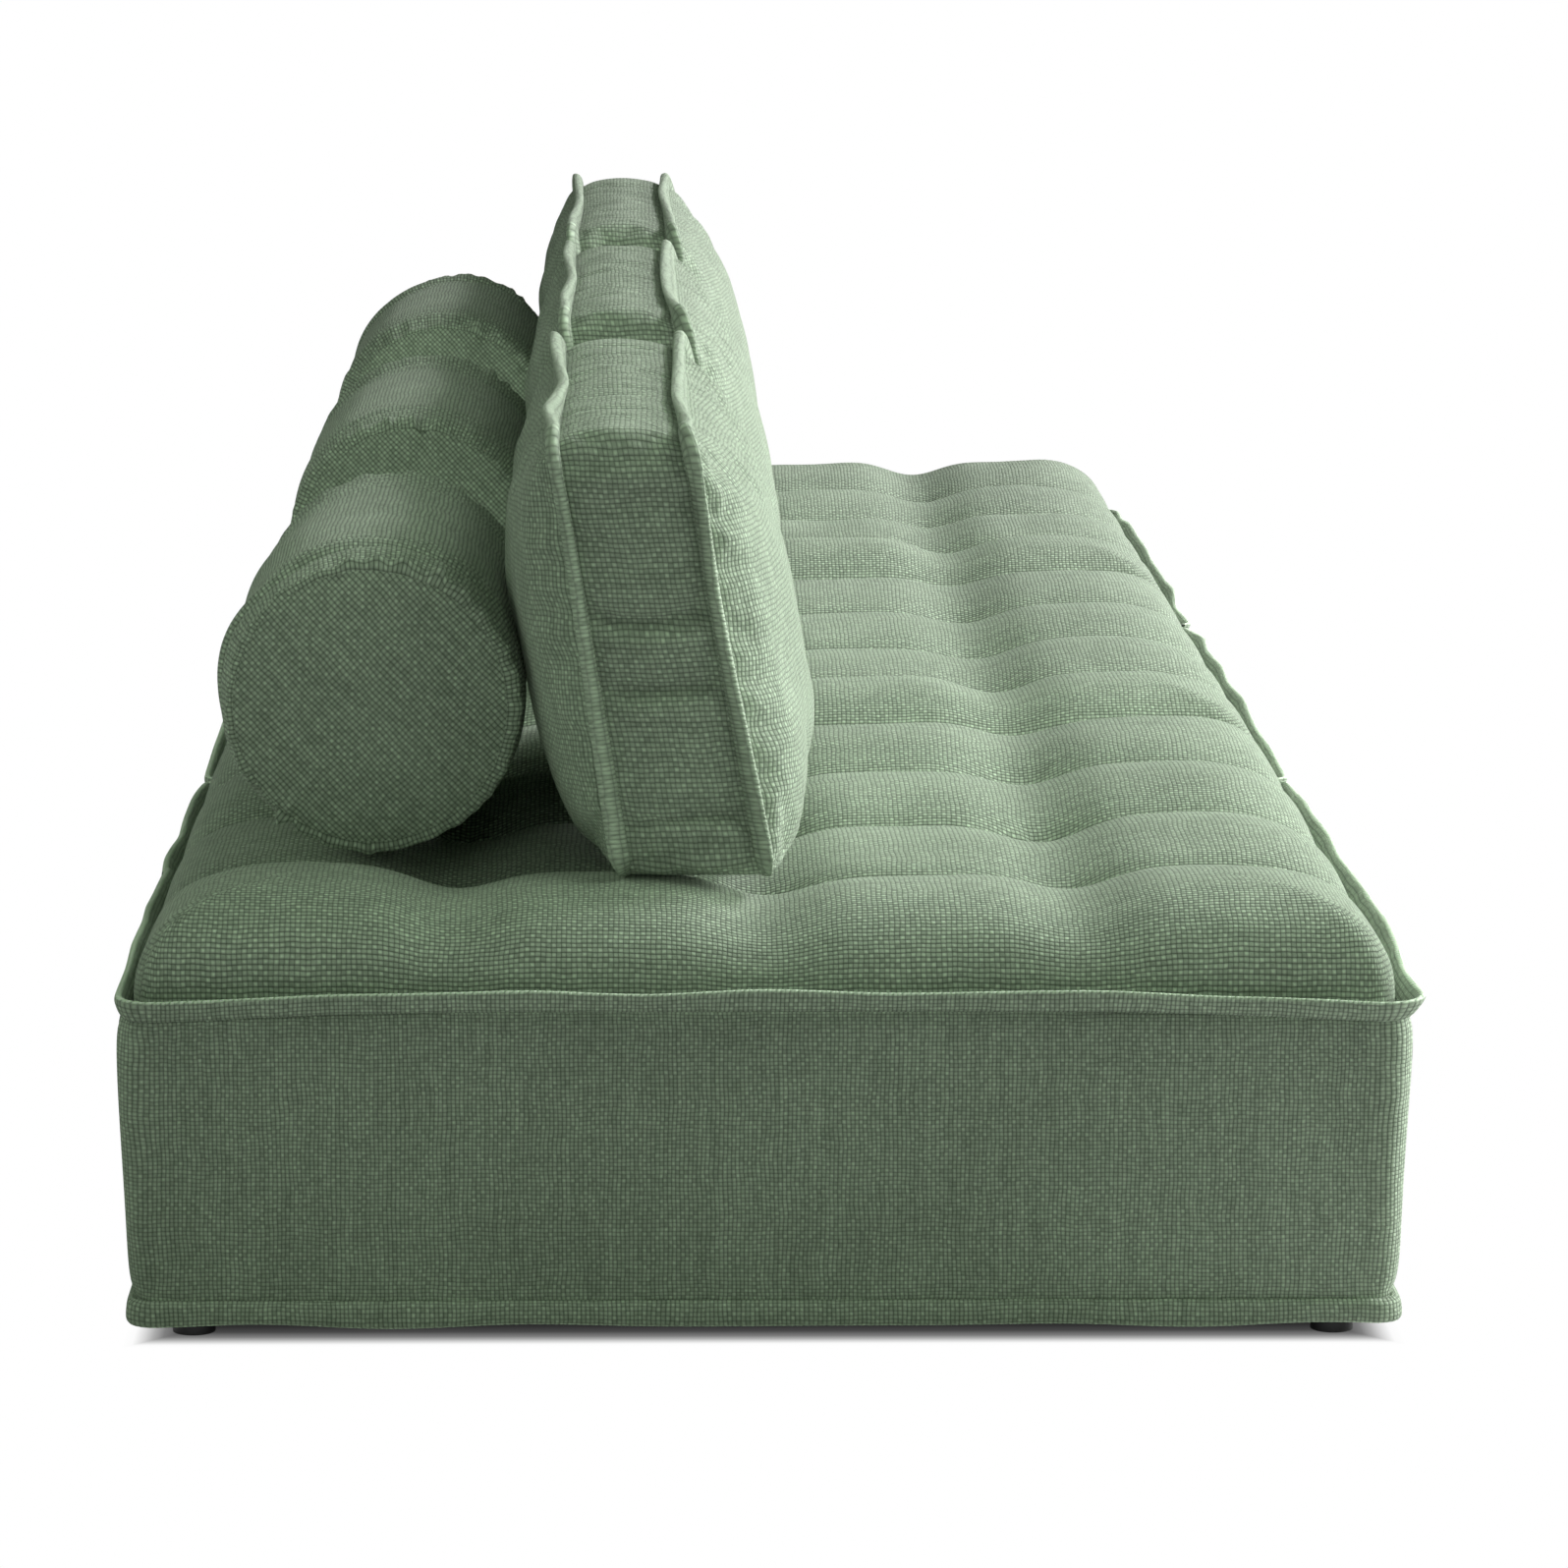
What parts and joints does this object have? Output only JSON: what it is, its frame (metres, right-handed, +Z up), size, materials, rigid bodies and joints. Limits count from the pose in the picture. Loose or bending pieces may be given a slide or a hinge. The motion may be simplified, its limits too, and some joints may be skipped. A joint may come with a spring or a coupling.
{
  "type": "modular sofa",
  "caption": "Low modular sofa of square tufted seats in a row, each with a loose leaning back cushion and a round bolster.",
  "frame": {"origin": "on the floor, under the middle of the middle seat", "axes": "+X along the row of seats, -Y towards the front edge where people sit, +Z up"},
  "size_m": [3.041, 1.02, 0.7103],
  "materials": {
    "sofa_fabric": "coarse basket weave, matt sage green",
    "foam": "cut foam wrapped in wadding",
    "timber": "sawn softwood",
    "webbing": "woven jute and elastic",
    "lining": "black spun-bonded cloth",
    "black_plastic": "moulded, fine grain",
    "steel": "zinc plated"
  },
  "bodies": {
    "seat_middle": {"middle_seat_pad": "sofa_fabric", "middle_seat_foam": "foam", "middle_side_cover": "sofa_fabric", "middle_top_lip": "sofa_fabric", "middle_bottom_lip": "sofa_fabric", "middle_frame": "timber", "middle_webbing": "webbing", "middle_feet": "black_plastic", "middle_dust_cover": "lining", "middle_tuft_ties": "webbing", "pivot_screws": "steel"},
    "seat_left": {"left_seat_pad": "sofa_fabric", "left_seat_foam": "foam", "left_side_cover": "sofa_fabric", "left_top_lip": "sofa_fabric", "left_bottom_lip": "sofa_fabric", "left_frame": "timber", "left_webbing": "webbing", "left_feet": "black_plastic", "left_dust_cover": "lining", "left_tuft_ties": "webbing", "left_connector_pins": "steel"},
    "seat_right": {"right_seat_pad": "sofa_fabric", "right_seat_foam": "foam", "right_side_cover": "sofa_fabric", "right_top_lip": "sofa_fabric", "right_bottom_lip": "sofa_fabric", "right_frame": "timber", "right_webbing": "webbing", "right_feet": "black_plastic", "right_dust_cover": "lining", "right_tuft_ties": "webbing", "right_connector_pins": "steel"},
    "cushion_left": {"left_cushion_boxing": "sofa_fabric", "left_cushion_panels": "sofa_fabric", "left_cushion_flanges": "sofa_fabric", "left_cushion_core": "foam"},
    "bolster_left": {"left_bolster_cover": "sofa_fabric", "left_bolster_ends": "sofa_fabric", "left_bolster_core": "foam"},
    "cushion_middle": {"middle_cushion_boxing": "sofa_fabric", "middle_cushion_panels": "sofa_fabric", "middle_cushion_flanges": "sofa_fabric", "middle_cushion_core": "foam"},
    "bolster_middle": {"middle_bolster_cover": "sofa_fabric", "middle_bolster_ends": "sofa_fabric", "middle_bolster_core": "foam"},
    "cushion_right": {"right_cushion_boxing": "sofa_fabric", "right_cushion_panels": "sofa_fabric", "right_cushion_flanges": "sofa_fabric", "right_cushion_core": "foam"},
    "bolster_right": {"right_bolster_cover": "sofa_fabric", "right_bolster_ends": "sofa_fabric", "right_bolster_core": "foam"},
    "link_left_front": {"left_front_link": "steel"},
    "link_left_back": {"left_back_link": "steel"},
    "link_right_front": {"right_front_link": "steel"},
    "link_right_back": {"right_back_link": "steel"}
  },
  "joints": [
    {"name": "seat_left_lift", "type": "slide", "parent": "seat_middle", "child": "seat_left", "axis": [0, 0, 1], "range_m": [0, 0.45]},
    {"name": "seat_right_lift", "type": "slide", "parent": "seat_middle", "child": "seat_right", "axis": [0, 0, 1], "range_m": [0, 0.45]},
    {"name": "cushion_left_lift", "type": "slide", "parent": "seat_left", "child": "cushion_left", "axis": [0, 0, 1], "range_m": [0, 0.5]},
    {"name": "bolster_left_lift", "type": "slide", "parent": "seat_left", "child": "bolster_left", "axis": [0, 0.5, 0.866], "range_m": [0, 0.6]},
    {"name": "cushion_middle_lift", "type": "slide", "parent": "seat_middle", "child": "cushion_middle", "axis": [0, 0, 1], "range_m": [0, 0.5]},
    {"name": "bolster_middle_lift", "type": "slide", "parent": "seat_middle", "child": "bolster_middle", "axis": [0, 0.5, 0.866], "range_m": [0, 0.6]},
    {"name": "cushion_right_lift", "type": "slide", "parent": "seat_right", "child": "cushion_right", "axis": [0, 0, 1], "range_m": [0, 0.5]},
    {"name": "bolster_right_lift", "type": "slide", "parent": "seat_right", "child": "bolster_right", "axis": [0, 0.5, 0.866], "range_m": [0, 0.6]},
    {"name": "link_left_front_swing", "type": "hinge", "parent": "seat_middle", "child": "link_left_front", "pos_m": [-0.488, -0.3, 0.012], "axis": [0, 0, 1], "range_deg": [0, 90]},
    {"name": "link_left_back_swing", "type": "hinge", "parent": "seat_middle", "child": "link_left_back", "pos_m": [-0.488, 0.3, 0.012], "axis": [0, 0, -1], "range_deg": [0, 90]},
    {"name": "link_right_front_swing", "type": "hinge", "parent": "seat_middle", "child": "link_right_front", "pos_m": [0.488, -0.3, 0.012], "axis": [0, 0, -1], "range_deg": [0, 90]},
    {"name": "link_right_back_swing", "type": "hinge", "parent": "seat_middle", "child": "link_right_back", "pos_m": [0.488, 0.3, 0.012], "axis": [0, 0, 1], "range_deg": [0, 90]}
  ]
}
